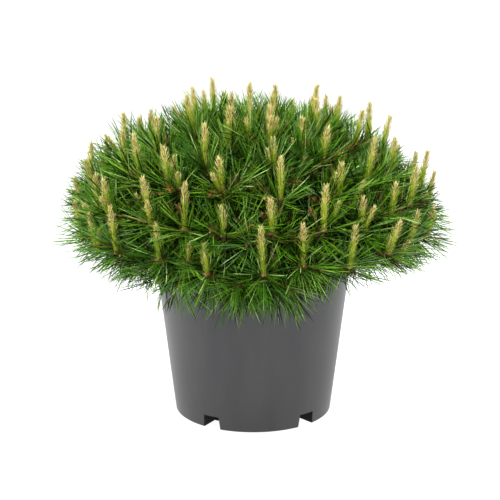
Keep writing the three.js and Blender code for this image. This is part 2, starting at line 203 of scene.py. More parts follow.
class Batch:
    """Corners, faces and colour numbers that become one mesh."""

    def __init__(self):
        self.corners, self.faces, self.colours, self.count = [], [], [], 0

    def add(self, corners, faces, colours):
        """corners (n, 3); faces, arrays of corner numbers; colours, numbers for each array's faces."""
        self.corners.append(corners)
        for these, shade in zip(faces, colours):
            self.faces.append(these + self.count)
            self.colours.append(np.broadcast_to(shade, len(these)))
        self.count += len(corners)

    def mesh(self, name):
        made = bpy.data.meshes.new(name)
        corners = np.concatenate(self.corners) * MM
        made.vertices.add(len(corners))
        made.vertices.foreach_set("co", corners.ravel())
        numbers = np.concatenate([these.ravel() for these in self.faces])
        made.loops.add(len(numbers))
        made.loops.foreach_set("vertex_index", numbers)
        sizes = np.concatenate([np.full(len(these), these.shape[1]) for these in self.faces])
        made.polygons.add(len(sizes))
        made.polygons.foreach_set("loop_start", np.concatenate([[0], np.cumsum(sizes)[:-1]]))
        made.polygons.foreach_set("material_index", np.concatenate(self.colours))
        made.update(calc_edges=True)
        made.validate()
        return made


def show(name, data):
    """A new object in the scene."""
    thing = bpy.data.objects.new(name, data)
    bpy.context.scene.collection.objects.link(thing)
    return thing


def place(name, mesh, looks, replaced=(), smooth=False):
    """Puts a mesh in the scene as a piece of the object."""
    for look in looks:
        mesh.materials.append(look)
    mesh.polygons.foreach_set("use_smooth", np.full(len(mesh.polygons), smooth))
    piece = show(name, mesh)
    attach(piece, "root")
    if replaced:
        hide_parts(*replaced)
    return piece


def repeated(faces, count, step):
    """Faces for count copies of a shape, each with its corners a step further on."""
    starts = np.arange(count)[:, None, None] * step
    return [(these[None] + starts).reshape(-1, these.shape[1]) for these in faces]


def rows_of_quads(rings, sides):
    """Faces between neighbouring rings of corners."""
    a = np.arange(sides)
    b = (a + 1) % sides
    return repeated([np.stack([a, b, b + sides, a + sides], axis=1)], rings - 1, sides)[0]


def copies(shape, faces, frames):
    """Corners and faces of one small shape (k, 3) set in many frames of (origin, x, y, z)."""
    origin, *axes = frames
    corners = origin[:, None]
    for k, axis in enumerate(axes):
        corners = corners + shape[None, :, k, None] * axis[:, None]
    return corners.reshape(-1, 3), repeated(faces, len(origin), len(shape))


def tube(centres, ways, radii, sides, side):
    """Corners and faces of a round tube with closed ends; radii is (rings, sides) or (rings, 1)."""
    u = unit(side - ways * (ways @ side)[:, None])
    w = np.cross(u, ways)
    turn = np.arange(sides) * 2 * math.pi / sides
    ring = np.cos(turn)[None, :, None] * u[:, None] + np.sin(turn)[None, :, None] * w[:, None]
    radii = np.broadcast_to(radii, (len(centres), sides))[..., None]
    corners = (centres[:, None] + ring * radii).reshape(-1, 3)
    first = np.arange(sides)
    ends = np.array([first[::-1], first + (len(centres) - 1) * sides])
    return corners, rows_of_quads(len(centres), sides), ends


# Colours and materials

GRAIN_DETAIL = 8
GRAIN_ROUGHNESS = 0.62
GRAIN_DARK = 0.35  # noise values where a material is its dark and its light colour
GRAIN_LIGHT = 0.68
GRAIN_GLOSS = 0.4


def linear(colour):
    """The scene's value of a colour as it is seen on a screen, 0 to 255."""
    shares = [value / 255 for value in colour]
    return [s / 12.92 if s <= 0.04045 else ((s + 0.055) / 1.055) ** 2.4 for s in shares] + [1]


def fill(node, values):
    for name, value in values.items():
        node.inputs[name].default_value = value


def add_nodes(tree, *kinds):
    return [tree.nodes.new(kind) for kind in kinds]


def wire(tree, *wires):
    for source, output, target, inlet in wires:
        tree.links.new(source.outputs[output], target.inputs[inlet])


def plain(name, colour, roughness, gloss):
    look = bpy.data.materials.new(name)
    look.use_nodes = True
    shader = look.node_tree.nodes["Principled BSDF"]
    fill(shader, {"Base Color": linear(colour), "Roughness": roughness, "Specular IOR Level": gloss})
    return look


def grained(name, dark, light, scale, roughness, bump, depth, stretch=(1, 1, 1)):
    """A material whose colour, roughness and relief come from layered noise."""
    look = plain(name, dark, roughness[0], GRAIN_GLOSS)
    tree = look.node_tree
    shader = tree.nodes["Principled BSDF"]
    where, stretched, grain = add_nodes(
        tree, "ShaderNodeTexCoord", "ShaderNodeMapping", "ShaderNodeTexNoise"
    )
    tint, rough, relief = add_nodes(tree, "ShaderNodeValToRGB", "ShaderNodeMapRange", "ShaderNodeBump")
    fill(stretched, {"Scale": stretch})
    fill(grain, {"Scale": scale, "Detail": GRAIN_DETAIL, "Roughness": GRAIN_ROUGHNESS})
    fill(rough, {"To Min": roughness[0], "To Max": roughness[1]})
    fill(relief, {"Strength": bump, "Distance": depth * MM})
    for stop, position, colour in zip(tint.color_ramp.elements, (GRAIN_DARK, GRAIN_LIGHT), (dark, light)):
        stop.position = position
        stop.color = linear(colour)
    wire(
        tree,
        (where, "Object", stretched, "Vector"),
        (stretched, "Vector", grain, "Vector"),
        (grain, "Fac", tint, "Fac"),
        (grain, "Fac", rough, "Value"),
        (grain, "Fac", relief, "Height"),
        (tint, "Color", shader, "Base Color"),
        (rough, "Result", shader, "Roughness"),
        (relief, "Normal", shader, "Normal"),
    )
    return look


# Looks of the crown: colour, roughness and gloss


def palette(kind, **values):
    return [plain(f"{kind}_{name}", *value) for name, value in values.items()]


GREENS = palette(
    "needle",
    deep=((52, 98, 9), 0.36, 0.25),
    grass=((76, 122, 17), 0.36, 0.25),
    mid=((92, 136, 24), 0.36, 0.25),
    bluish=((82, 126, 54), 0.36, 0.3),
    bright=((112, 150, 38), 0.36, 0.3),
    dull=((100, 106, 34), 0.5, 0.2),
    brown=((134, 94, 52), 0.6, 0.15),
    # pale: needles in a whitish green, painted highlights
    pale=((152, 178, 106), 0.42, 0.3),
    # dark: near-black needles, painted shade deep in the crown
    dark=((15, 34, 0), 0.5, 0.06),
)
FRESH_GREENS = 5  # the first of them, for new needles
# The last two are painted light: pale needles as highlights, near-black ones as shade deep in the crown
DEEP, DULL, BROWN, PAINTED_HIGHLIGHT, PAINTED_SHADE = 0, 5, 6, 7, 8
SHEATHS = palette(
    "sheath",
    brown=((84, 84, 40), 0.7, 0.2),
    tan=((124, 118, 64), 0.7, 0.2),
    rust=((106, 92, 48), 0.7, 0.2),
)
TWIGS = palette(
    "twig",
    brown=((116, 92, 64), 0.8, 0.2),
    grey=((132, 114, 90), 0.85, 0.2),
    rust=((144, 98, 52), 0.8, 0.2),
    straw=((182, 138, 80), 0.8, 0.2),
)
WOODY = 3  # the first of them, for the twigs themselves
GREY = 1
CANDLES = palette(
    "candle",
    green=((124, 146, 22), 0.5, 0.35),
    lime=((160, 174, 44), 0.5, 0.35),
    straw=((192, 188, 112), 0.55, 0.3),
    cream=((214, 205, 150), 0.6, 0.25),
    tan=((188, 172, 112), 0.65, 0.25),
    rust=((152, 122, 78), 0.7, 0.2),
)

# Needles: three sides, a slight bend, and a point, in pairs out of a short sheath

GOLDEN_TURN = math.radians(137.5)
ASIDE = np.array([0.13, 0.21, 0.97])  # turns about a shoot are counted from it
NEEDLE_WIDTH = 0.9
NEEDLE_WIDTHS = (0.85, 1.15)  # as shares of it
NEEDLE_FOOT = 0.75  # width at the foot, as a share
NEEDLE_WAIST = 0.76  # where a needle starts to taper, as a share of its length
NEEDLE_BEND = 2.6  # how far a tip leaves its needle's first direction
BEND_ACROSS = 0.5  # spread of that to either side, as a share
BEND_ALONG = 0.6  # and share of it along the shoot
NEEDLE_SECTION = np.array([(-0.5, -0.22), (0.5, -0.22), (0, 0.42)])
PRISM = np.array([(0, 1, 4, 3), (1, 2, 5, 4), (2, 0, 3, 5)])
NEEDLE_FACES = [PRISM, np.array([(0, 2, 1), (3, 4, 6), (4, 5, 6), (5, 3, 6)])]
NEEDLE_CORNERS = 7
NEEDLE_CLEARANCE = 1.5  # from the pot and its soil
SHEATH_FACES = [PRISM, np.array([(0, 2, 1), (3, 4, 5)])]
SHEATH_LENGTH = 5.5
SHEATH_LENGTHS = (0.7, 1.2)  # as shares
SHEATH_RADIUS = 0.95
SHEATH_TIP = 0.62  # radius at the tip, as a share
SHEATH_SHARES = (0.5, 0.25, 0.25)  # of the three looks


def from_axis(points):
    """Level distances from the pot's axis."""
    return np.hypot(points[..., 0], points[..., 1])


def wall_radius(z):
    return POT_FOOT_RADIUS + POT_FLARE * np.clip(z, 0, POT_HEIGHT)


def in_pot(points, margin):
    """Which points are in the pot or its soil, or closer to them than a margin."""
    level, z = from_axis(points), points[..., 2]
    outer = wall_radius(z) + RIM_OVERHANG + margin
    inner = wall_radius(z) - POT_WALL - margin
    above_soil = (level < inner) & (z > GROUND + margin)
    return (level < outer) & (z < POT_HEIGHT + margin) & ~above_soil


# The crown's outline: (distance from the axis, height) points of its underside and its dome

UNDERSIDE = np.array([(100, 172), (117, 178), (147, 183), (200, 187), (222, 200), (240, 216)])
UNDERSIDE_TILT = np.array([0.01, 0.02])  # rise towards +X and +Y, mm per mm
UNDERSIDE_JITTER = 4
UNDERSIDE_BUMPS = [  # x, y, rise and width
    (122, -80, 24, 38), (200, -20, -20, 48), (-150, -40, 3, 50), (-204, -20, 9, 36), (-116, -64, -34, 20)
]
UNDERSIDE_SAG = 48  # how much lower it hangs in front of the pot
SAG_FRONT = (85, 150)  # distances in front of the axis where that starts and is full
SAG_SIDES = (104, 64)  # and beside its middle
SAG_MIDDLE = -12
FRINGE = 14  # height of the underside's open fringe
FRINGE_GAPS = 0.3  # share of its needles that are left out
DOME = np.array(
    [(0, 365), (60, 362), (100, 354), (142, 343), (171, 328), (200, 294), (214, 270), (225, 243), (237, 212)]
)
DOME_TILT = np.array([-0.08, 0.02])
TILTED = (228, 198)  # distances from the axis where its tilt ends and is full
REACH = 238  # how far needles stand out from the pot's axis
TURN_UP = 0.8  # how much a needle that is too low turns up
CUT_SHARE = 0.2  # and what it loses of its length
CUT_OVER = 15  # where it is this much too low
LOST_BELOW = (4, 16)  # needles further past the underside are left out
LOST_ABOVE = (2, 12)  # and past the dome


def ramp(value, ends):
    """0 at one end, 1 at the other."""
    return ((value - ends[0]) / (ends[1] - ends[0])).clip(0, 1)


def in_crown(roots, ways, lengths, rng):
    """Ways and lengths that keep needles in the crown's outline, and which needles can't be kept."""
    tips = roots + ways * lengths[:, None]
    low = np.interp(from_axis(tips), *UNDERSIDE.T) + rng.normal(0, UNDERSIDE_JITTER, len(roots))
    for x, y, rise, width in UNDERSIDE_BUMPS:
        low += rise * np.exp(-((tips[:, 0] - x) ** 2 + (tips[:, 1] - y) ** 2) / (2 * width**2))
    sag = ramp(-tips[:, 1], SAG_FRONT) * ramp(abs(tips[:, 0] - SAG_MIDDLE), SAG_SIDES)
    low = low + tips[:, :2] @ UNDERSIDE_TILT - UNDERSIDE_SAG * sag
    short = (low - tips[:, 2]).clip(0)
    turned_up = unit(ways + np.array([0, 0, TURN_UP]) * (short / lengths)[:, None])
    shortened = lengths * (1 - CUT_SHARE * (short / CUT_OVER).clip(0, 1))
    over = (from_axis(roots) + from_axis(turned_up) * shortened - REACH).clip(0)
    tips = roots + turned_up * (shortened - over)[:, None]
    level = from_axis(tips)
    high = tips[:, 2] - np.interp(level, *DOME.T) - tips[:, :2] @ DOME_TILT * ramp(level, TILTED)
    lost = short > rng.uniform(*LOST_BELOW, len(roots))
    lost |= high > rng.uniform(*LOST_ABOVE, len(roots))
    lost |= (tips[:, 2] - low < FRINGE) & (rng.random(len(roots)) < FRINGE_GAPS)
    return turned_up, shortened - over, lost


# Sprays of needles


def square_to(ways, other):
    """Two directions square to each way and to each other."""
    u = unit(np.cross(ways, other))
    return u, np.cross(ways, u)


def beside(ways, rng):
    return square_to(ways, rng.normal(size=ways.shape))


def spiral(count, u, v, rng=None, jitter=0):
    """Directions of things in a spiral round a stem; u and v are square to it."""
    turns = np.arange(count) * GOLDEN_TURN
    if jitter:
        turns = turns + rng.normal(0, jitter, count)
    return np.cos(turns)[:, None] * u + np.sin(turns)[:, None] * v


def add_needles(batch, roots, ways, along, lengths, colours, lost, rng):
    u, v = beside(ways, rng)
    sideways = rng.normal(0, NEEDLE_BEND * BEND_ACROSS, len(roots))
    bends = v * sideways[:, None] + along * NEEDLE_BEND * BEND_ALONG
    widths = NEEDLE_WIDTH * rng.uniform(*NEEDLE_WIDTHS, len(roots))[:, None, None]
    ring = NEEDLE_SECTION[None, :, 0:1] * u[:, None] + NEEDLE_SECTION[None, :, 1:2] * v[:, None]
    reach = (ways * lengths[:, None])[:, None]
    foot = roots[:, None] + ring * widths * NEEDLE_FOOT
    waist = roots[:, None] + reach * NEEDLE_WAIST + bends[:, None] * NEEDLE_WAIST**2 + ring * widths
    tip = roots[:, None] + reach + bends[:, None]
    probes = np.concatenate([waist[:, :1], tip, (waist[:, :1] + tip) / 2], axis=1)
    clear = ~lost & ~in_pot(probes, NEEDLE_CLEARANCE).any(axis=1)
    corners = np.concatenate([foot, waist, tip], axis=1)[clear].reshape(-1, 3)
    faces = repeated(NEEDLE_FACES, clear.sum(), NEEDLE_CORNERS)
    batch.add(corners, faces, [np.repeat(colours[clear], len(these)) for these in NEEDLE_FACES])


def add_sheaths(batch, roots, ways, rng):
    u, v = beside(ways, rng)
    ring = [(math.cos(a), math.sin(a)) for a in (0, 2 * math.pi / 3, 4 * math.pi / 3)]
    shape = [(c, s, 0) for c, s in ring] + [(SHEATH_TIP * c, SHEATH_TIP * s, 1) for c, s in ring]
    lengths = SHEATH_LENGTH * rng.uniform(*SHEATH_LENGTHS, len(roots))[:, None]
    frames = (roots, u * SHEATH_RADIUS, v * SHEATH_RADIUS, ways * lengths)
    corners, faces = copies(np.array(shape), SHEATH_FACES, frames)
    shades = rng.choice(len(SHEATHS), len(roots), p=SHEATH_SHARES)
    batch.add(corners, faces, [np.repeat(shades, len(these)) for these in SHEATH_FACES])


SKIRT = (140, 185)  # distances from the axis over which the shares of painted shade fall
SKIRT_TOP = (245, 225)  # and heights
SKIRT_LIGHTER = 0.7  # how far they fall
# share of needles in pale green as painted highlights
PAINTED_HIGHLIGHT_SHARE = 0.07
STRAY_SHARE = 0.35  # of needles in another green than their spray
OWN_STRETCH = (0.2, 0.8)  # place of a pair or scale in the stretch it has
PAIR_LEAN_JITTER = 11  # degrees
PAIR_LEAN_EASE = 0.8
PAIR_ROOT = 1.6  # how far from a shoot's axis pairs start
PAIR_PROBE = 12  # how far out they are tested against the pot
PAIR_CLEARANCE = 2
PAIR_SPLAY = math.radians(7)
PAIR_SPLAYS = (0.5, 1.3)  # as shares
NEEDLE_START = 2  # how far up its sheath a needle starts
LENGTH_SPREAD = 0.1  # of needles' lengths, as a share
LENGTH_LIMITS = (0.72, 1.18)


def shades_of(colour, dark, roots, dry, rng):
    """Colour numbers of needles, with a share in near-black painted shade for each, a few pale painted
    highlights and a few dry.
    """
    lot = rng.random(len(roots))
    colour = np.where(rng.random(len(roots)) < STRAY_SHARE, rng.choice(FRESH_GREENS, len(roots)), colour)
    skirt = ramp(from_axis(roots), SKIRT) * ramp(roots[:, 2], SKIRT_TOP)
    # near-black painted shade, more towards a spray's foot and less low at the crown's edge
    shades = np.where(lot < dark * (1 - SKIRT_LIGHTER * skirt), PAINTED_SHADE, colour)
    # a few needles in pale green as painted highlights
    shades = np.where(lot > 1 - PAINTED_HIGHLIGHT_SHARE - dry, PAINTED_HIGHLIGHT, shades)
    return np.where(lot > 1 - dry, BROWN, shades)


def spray(needles, sheaths, shoot, stretch, count, angles, length, colour, rng, dry=0.006):
    """Pairs of needles in a spiral on a stretch of a shoot, given as distances back from its tip."""
    curve = shoot["curve"]
    back = mix(*stretch, (np.arange(count) + rng.uniform(*OWN_STRETCH, count)) / count)
    t = 1 - back / curve.length
    roots, axes = curve.at(t), curve.way(t)
    out = spiral(count, *square_to(axes, ASIDE), rng, jitter=0.4)
    share = (back - stretch[0]) / (stretch[1] - stretch[0])
    lean = mix(*angles, share**PAIR_LEAN_EASE) + rng.normal(0, PAIR_LEAN_JITTER, count)
    lean = np.radians(lean)[:, None]
    ways = np.cos(lean) * axes + np.sin(lean) * out
    roots = roots + out * PAIR_ROOT
    kept = ~in_pot(roots + ways * PAIR_PROBE, PAIR_CLEARANCE)
    roots, ways, axes, share, count = roots[kept], ways[kept], axes[kept], share[kept], kept.sum()
    if not count:
        return
    add_sheaths(sheaths, roots, ways, rng)
    splay = beside(ways, rng)[0] * math.tan(PAIR_SPLAY)
    for sign in (1, -1):
        own = unit(ways + sign * splay * rng.uniform(*PAIR_SPLAYS, (count, 1)))
        lengths = length * rng.normal(1, LENGTH_SPREAD, count).clip(*LENGTH_LIMITS)
        own, lengths, lost = in_crown(roots, own, lengths, rng)
        # its share of near-black painted shade grows from the spray's tip to its foot
        shades = shades_of(colour, mix(*shoot["dark"], share), roots, dry, rng)
        add_needles(needles, roots + ways * NEEDLE_START, own, axes, lengths, shades, lost, rng)


# Candles: a spindle core under a spiral of pointed scales, with dry scales round its foot

SCALE_FORM = np.array([(0, 0, 0), (-0.5, 0.12, 0.4), (0.5, 0.12, 0.4), (0, 0.5, 0.35), (0, 0.1, 1)])
SCALE_FOOT = np.array([(0, 1, 3), (0, 3, 2), (0, 2, 1)])
SCALE_POINT = np.array([(1, 4, 3), (3, 4, 2), (1, 2, 4)])
SCALE_FLATNESS = 0.8
CANDLE_SWELL = 0.62  # where a candle is widest, as a share of its length
CANDLE_SWAY = 0.04  # how far its tip leaves the straight, likewise
CORE_RADII = (0.78, 0.88, 0.28)  # at its foot, its swell and its tip, as shares of the candle's radius
CORE_COLOURS = (0, 0, 1, 1, 1, 4, 5, 5)  # of the core's rings, from its foot up
CORE_SIDES = 8
SCALE_ROOTS = (0.72, 0.82, 0.25)  # distances from the axis, as shares of the candle's radius
SCALE_STRETCH = 0.97  # share of a candle's length that has scales
SCALES_PER_MM = 3.5
SCALE_LEANS = (19, 33, 20)  # degrees off the candle, at its foot, its swell and its tip
SCALE_LEAN_JITTER = 7
SCALE_LENGTHS = (5.6, 7.8, 6.6)  # in the same places, on a candle of full radius
FULL_RADIUS = 2.6
SCALE_SIZES = (0.75, 1.25)  # as shares
POINT_EASE = 1.2  # how much later than their feet the scales' points change colour
BUD_SCALES = 16  # the dry ones round the foot
BUD_LEANS = (15, 60)
BUD_COLOURS = (4, 5, 5)
BUD_DROP = 2  # how far under the candle's foot they start
BUD_ROOTS = 0.5
BUD_LENGTH = 5.0


def along_candle(share, values):
    return np.interp(share, (0, CANDLE_SWELL, 1), values)


def graded(share, start, rise, spread, last, rng):
    """Colour numbers that rise along a candle, with some spread."""
    return np.clip(share * rise + start + rng.normal(0, spread, len(share)), 0, last).astype(int)


def add_scales(batch, roots, way, out, lean, lengths, feet, points, width):
    """Pointed scales; way is the stem's, out is away from it, and lean is in degrees."""
    lean = np.radians(lean)[:, None]
    ways = unit(np.cos(lean) * way + np.sin(lean) * out)
    rise = unit(out - ways * np.sum(out * ways, axis=1, keepdims=True))
    frames = (roots, np.cross(ways, rise) * width, rise * width * SCALE_FLATNESS, ways * lengths[:, None])
    corners, faces = copies(SCALE_FORM, [SCALE_FOOT, SCALE_POINT], frames)
    batch.add(corners, faces, [np.repeat(feet, 3), np.repeat(points, 3)])


def add_candle(batch, rng, base, way, length, radius):
    side = beside(way[None], rng)[0][0]
    across = np.cross(way, side)
    sway = side * rng.normal(0, CANDLE_SWAY) * length
    rings = len(CORE_COLOURS) + 1
    share = np.linspace(0, 1, rings)
    radii = along_candle(share, CORE_RADII) * radius
    line = base + way * (share * length)[:, None] + sway * (share**2)[:, None]
    corners, quads, ends = tube(line, np.repeat(way[None], rings, axis=0), radii[:, None], CORE_SIDES, side)
    end_colours = np.array([CORE_COLOURS[0], CORE_COLOURS[-1]])
    batch.add(corners, [quads, ends], [np.repeat(CORE_COLOURS, CORE_SIDES), end_colours])
    count = int(length * SCALES_PER_MM)
    share = (np.arange(count) + 0.5) / count
    out = spiral(count, side, across, rng, jitter=0.15)
    roots = base + way * (share * length * SCALE_STRETCH)[:, None] + sway * (share**2)[:, None]
    roots = roots + out * (along_candle(share, SCALE_ROOTS) * radius)[:, None]
    lean = along_candle(share, SCALE_LEANS) + rng.normal(0, SCALE_LEAN_JITTER, count)
    lengths = along_candle(share, SCALE_LENGTHS) * rng.uniform(*SCALE_SIZES, count)
    lengths = lengths * radius / FULL_RADIUS
    feet = graded(share, start=0.75, rise=1.9, spread=0.5, last=3, rng=rng)
    points = graded(share**POINT_EASE, start=1.0, rise=2.9, spread=0.8, last=5, rng=rng)
    add_scales(batch, roots, way, out, lean, lengths, feet, points, width=1.1)
    out = spiral(BUD_SCALES, side, across)
    lean = rng.uniform(*BUD_LEANS, BUD_SCALES)
    colours = rng.choice(BUD_COLOURS, BUD_SCALES)
    roots = base - way * BUD_DROP + out * radius * BUD_ROOTS
    add_scales(batch, roots, way, out, lean, np.full(BUD_SCALES, BUD_LENGTH), colours, colours, width=2)


# Twigs: rough tapering stems with the dry scales that fallen needles leave

TUBE_SIDE = unit(np.array([0.31, 0.17, 0.21]))
TWIG_PITCH = 5  # between the rings of a twig
TWIG_SIDES = 7
TWIG_ROUGHNESS = (0.86, 1.14)  # radii, as shares
TWIG_SCALES_PER_MM = 0.8
TWIG_SCALE_ROOTS = 0.8
TWIG_SCALE_LEANS = (18, 58)
TWIG_SCALE_LENGTHS = (3, 6)
TWIG_SCALE_SHARES = (0.35, 0.2, 0.35, 0.1)  # of the four looks
TUFT_SCALES = 34
TUFT_LENGTH = 9
TUFT_CORE = 0.8  # share of it that the stalk reaches
TUFT_LEANS = (35, 85)  # degrees at its foot
TUFT_CLOSING = 0.5  # how much less at its end, as a share
TUFT_SCALE_LENGTHS = (4, 7)
TUFT_SCALE_SHARES = (0.15, 0.2, 0.3, 0.35)
STALK_RADIUS = 0.9


def add_twig(batch, curve, radii, rng, tone):
    rings = max(4, int(curve.length / TWIG_PITCH))
    t = np.linspace(0, 1, rings)
    rough = mix(*radii, t)[:, None] * rng.uniform(*TWIG_ROUGHNESS, (rings, TWIG_SIDES))
    corners, quads, ends = tube(curve.at(t), curve.way(t), rough, TWIG_SIDES, TUBE_SIDE)
    batch.add(corners, [quads, ends], [tone, tone])
    count = int(curve.length * TWIG_SCALES_PER_MM)
    t = (np.arange(count) + rng.uniform(*OWN_STRETCH, count)) / count
    axes = curve.way(t)
    out = spiral(count, *square_to(axes, ASIDE))
    roots = curve.at(t) + out * mix(*radii, t)[:, None] * TWIG_SCALE_ROOTS
    lean = rng.uniform(*TWIG_SCALE_LEANS, count)
    lengths = rng.uniform(*TWIG_SCALE_LENGTHS, count)
    shades = rng.choice(len(TWIGS), count, p=TWIG_SCALE_SHARES)
    add_scales(batch, roots, axes, out, lean, lengths, shades, shades, width=1.7)


def add_tuft(batch, foot, way, stalk, rng):
    """A withered catkin: a short brush of dry scales on a stalk."""
    share = np.arange(TUFT_SCALES) / TUFT_SCALES
    side, across = (axis[0] for axis in beside(way[None], rng))
    base = foot + way * stalk
    line = np.array([foot, base + way * TUFT_LENGTH * TUFT_CORE])
    ways = np.array([way, way])
    corners, quads, ends = tube(line, ways, radii=[[STALK_RADIUS]], sides=5, side=side)
    batch.add(corners, [quads, ends], [0, 0])
    out = spiral(TUFT_SCALES, side, across, rng, jitter=0.5)
    roots = base + way * (share * TUFT_LENGTH)[:, None]
    lean = rng.uniform(*TUFT_LEANS, TUFT_SCALES) * (1 - TUFT_CLOSING * share)
    shades = rng.choice(len(TWIGS), TUFT_SCALES, p=TUFT_SCALE_SHARES)
    lengths = rng.uniform(*TUFT_SCALE_LENGTHS, TUFT_SCALES)
    add_scales(batch, roots, way, out, lean, lengths, shades, shades, width=1.5)


# The crown: every shoot of the skeleton carries side shoots, needles, candles and tufts
#
# needle: length of new needles; pairs, old_pairs: how many a shoot has; dark: shares of needles in
# near-black painted shade at a spray's tip and foot; candle: share of the skeleton's candle length;
# more: chances of none, one and two small candles beside it; tufts: fewest and most

CROWN_SEED = 3
FEW, SOME = (0.72, 0.22, 0.06), (0.58, 0.32, 0.1)
HABITS = {
    "lower": dict(needle=45, pairs=76, old_pairs=36, dark=(0.24, 0.86), candle=0.95, more=SOME, tufts=(0, 1)),
    "middle": dict(needle=42, pairs=80, old_pairs=22, dark=(0.14, 0.8), candle=0.92, more=SOME, tufts=(1, 3)),
    "upper": dict(needle=38, pairs=116, old_pairs=20, dark=(0.12, 0.72), candle=0.86, more=FEW, tufts=(1, 3)),
    "top": dict(needle=37, pairs=116, old_pairs=20, dark=(0.16, 0.76), candle=0.86, more=FEW, tufts=(1, 3)),
}
LOW_LEAN = 60  # degrees; shoots that lean further are low ones, in the shade
LOW_TONES = (0.38, 0.3, 0.06, 0.24, 0.02)  # chances of the fresh greens, with more deep ones as painted shade on these shaded shoots
HIGH_TONES = (0.14, 0.31, 0.3, 0.08, 0.17)
# old needles inside the sprays: mostly near-black painted shade, with deep and dull greens
OLD_TONES = (DEEP, PAINTED_SHADE, PAINTED_SHADE, DULL)
LOW_OLD_DRY = 0.12  # shares of dry needles on old wood
HIGH_OLD_DRY = 0.45
NEW_WOOD = 62  # how far back the new needles go
NEW_WOOD_SHARE = 0.8  # and the most, as a share of the shoot
NEW_LEANS = (30, 80)  # degrees off the shoot, from its tip down
OLD_WOOD = 120
OLD_WOOD_SHARE = 0.97
OLD_LEANS = (56, 82)
OLD_NEEDLES = 0.9  # their length, as a share of the new ones'
MAIN_TWIG = (STEM_END_RADIUS * 0.85, 1.7)  # radii at the foot and the tip
SIDE_TWIG = (1.6, 1.2)
UPRIGHT = 0.45  # how much more upright candles stand than the skeleton's
MORE_SPREADS = (0.22, 0.42)  # how far the candles beside a main one lean off it
MORE_LENGTHS = (0.45, 0.8)  # as shares of the skeleton's
MORE_APART = 2.4
TUFT_PLACES = (6, 44)  # distances back from a shoot's tip
TUFT_STALKS = (10, 19)
TUFT_LIFT = 0.6
TUFT_ALONG = 0.4
TUFT_REACH = 200  # from the pot's axis
SIDE_SHOOTS = 2
SIDE_FORKS = (30, 74)  # distances back from the shoot's tip
LOWEST_FORK = 0.12
SIDE_TURN_JITTER = 0.3
SIDE_SPREADS = (0.7, 1.1)  # how far they lean out
SIDE_LENGTHS = (30, 46)
SIDE_LIFT = 0.15
SIDE_BEND = 0.15  # how far they bend back to the shoot's way, as a share
SIDE_BEND_LIFT = 0.3
SIDE_PROBE = 8  # how far past its tip one is tested against the pot
SIDE_CLEARANCE = 8
SIDE_REACH = 205
SIDE_WOOD = 0.9  # share of a side shoot that carries needles
SIDE_PAIRS = 46
SIDE_LEANS = (28, 78)
SIDE_NEEDLES = 0.92  # their length, as a share
SIDE_SAME_TONE = 0.5  # chance of the shoot's own colour
SIDE_CANDLES = 0.22  # chance of a candle
CANDLES_TO_LEAN = 95  # degrees; none on shoots that lean further
SIDE_CANDLE_ALONG = 0.5  # how much they follow the side shoot's way
SIDE_CANDLE_LENGTHS = (14, 28)


def side_shoots(shoot, rng):
    """Finer shoots that fork off a shoot and end at about the same reach."""
    curve = shoot["curve"]
    for k in range(SIDE_SHOOTS):
        t = 1 - rng.uniform(*SIDE_FORKS) / curve.length
        if t < LOWEST_FORK:
            continue
        axis = curve.way(t)
        u, v = square_to(axis, ASIDE)
        turn = (k + rng.uniform(-SIDE_TURN_JITTER, SIDE_TURN_JITTER)) * 2 * math.pi / SIDE_SHOOTS
        out = math.cos(turn) * u + math.sin(turn) * v
        way = unit(axis + out * rng.uniform(*SIDE_SPREADS) + [0, 0, SIDE_LIFT])
        root = curve.at(t)
        length = rng.uniform(*SIDE_LENGTHS)
        tip = root + way * length
        tip = tip + (axis + [0, 0, SIDE_BEND_LIFT]) * length * SIDE_BEND
        if in_pot(tip + way * SIDE_PROBE, SIDE_CLEARANCE) or from_axis(tip) > SIDE_REACH:
            continue
        yield dict(shoot, curve=Curve(root, root + way * length / 2, tip))


def grow_candles(candles, shoot, habit, rng):
    """The candle at a shoot's tip, and smaller ones beside it."""
    tip = shoot["curve"].points[2]
    upright = unit(shoot["candle"] + [0, 0, UPRIGHT])
    add_candle(candles, rng, tip, upright, shoot["candle_length"] * habit["candle"], radius=2.5)
    for _ in range(rng.choice(3, p=habit["more"])):
        lean = beside(shoot["candle"][None], rng)[0][0]
        way = unit(upright + lean * rng.uniform(*MORE_SPREADS))
        length = shoot["candle_length"] * rng.uniform(*MORE_LENGTHS)
        add_candle(candles, rng, tip + lean * MORE_APART, way, length, radius=2)


def grow_tufts(twigs, curve, habit, rng):
    count = rng.integers(*habit["tufts"], endpoint=True)
    for back in rng.uniform(*TUFT_PLACES, count):
        t = 1 - back / curve.length
        out = beside(curve.way(t)[None], rng)[0][0] + [0, 0, TUFT_LIFT]
        foot, way = curve.at(t), unit(out + curve.way(t) * TUFT_ALONG)
        stalk = rng.uniform(*TUFT_STALKS)
        if from_axis(foot + way * (stalk + TUFT_LENGTH)) < TUFT_REACH:
            add_tuft(twigs, foot, way, stalk, rng)


